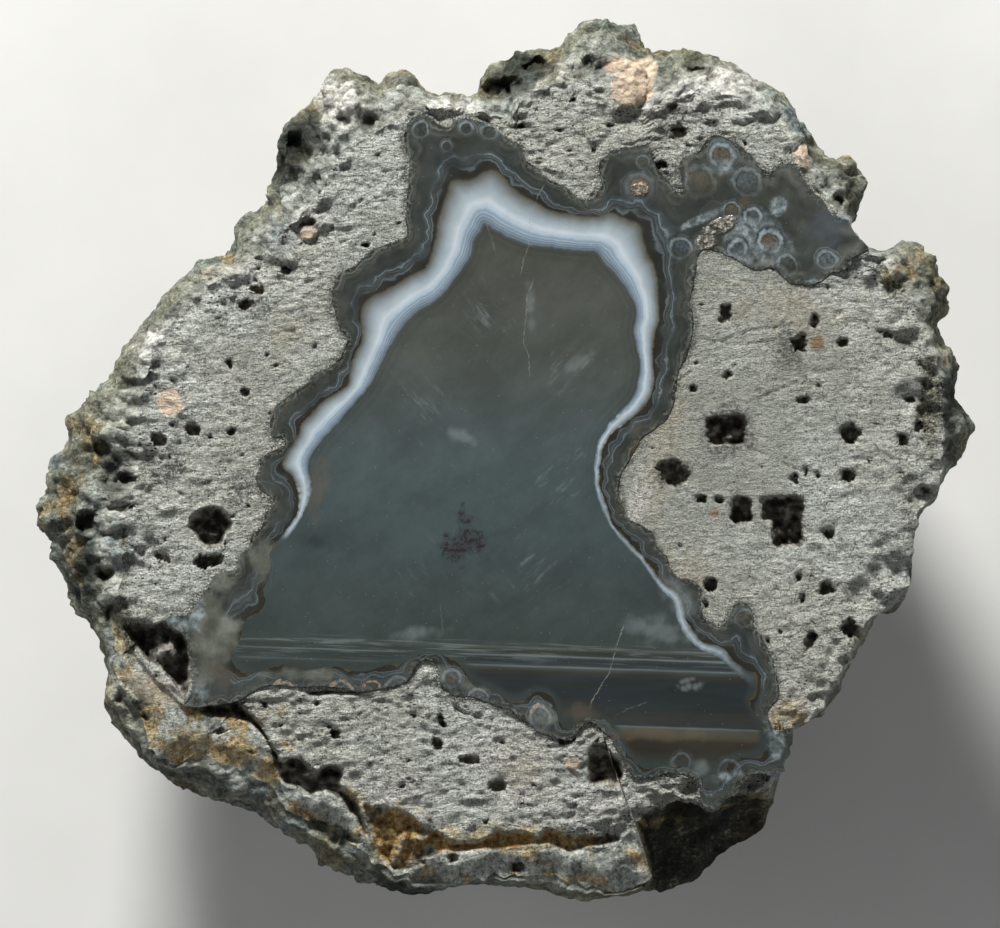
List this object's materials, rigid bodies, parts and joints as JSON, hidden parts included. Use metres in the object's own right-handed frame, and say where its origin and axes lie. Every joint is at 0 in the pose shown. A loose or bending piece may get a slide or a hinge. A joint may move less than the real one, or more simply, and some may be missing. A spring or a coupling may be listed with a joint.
{
  "type": "thunder egg",
  "caption": "Half of a thunder egg, sawn and polished: a knobbly rhyolite nodule with a banded agate core, resting on its rounded back.",
  "frame": {"origin": "in the flat resting spot under the rounded back, below the middle of the sawn face", "axes": "+Z out of the sawn face, +X along the longest way across it, towards the side of the broad rhyolite field"},
  "size_m": [0.1003, 0.0943, 0.044],
  "materials": {
    "rhyolite": "sawn face fine-grained and matt with dark pores, rind rough and knobbly",
    "agate": "polished flat, glassy, with a white band, level lines and small orbs as colour"
  },
  "bodies": {
    "root": {"rhyolite_shell": "rhyolite", "agate_core": "agate"}
  },
  "joints": []
}
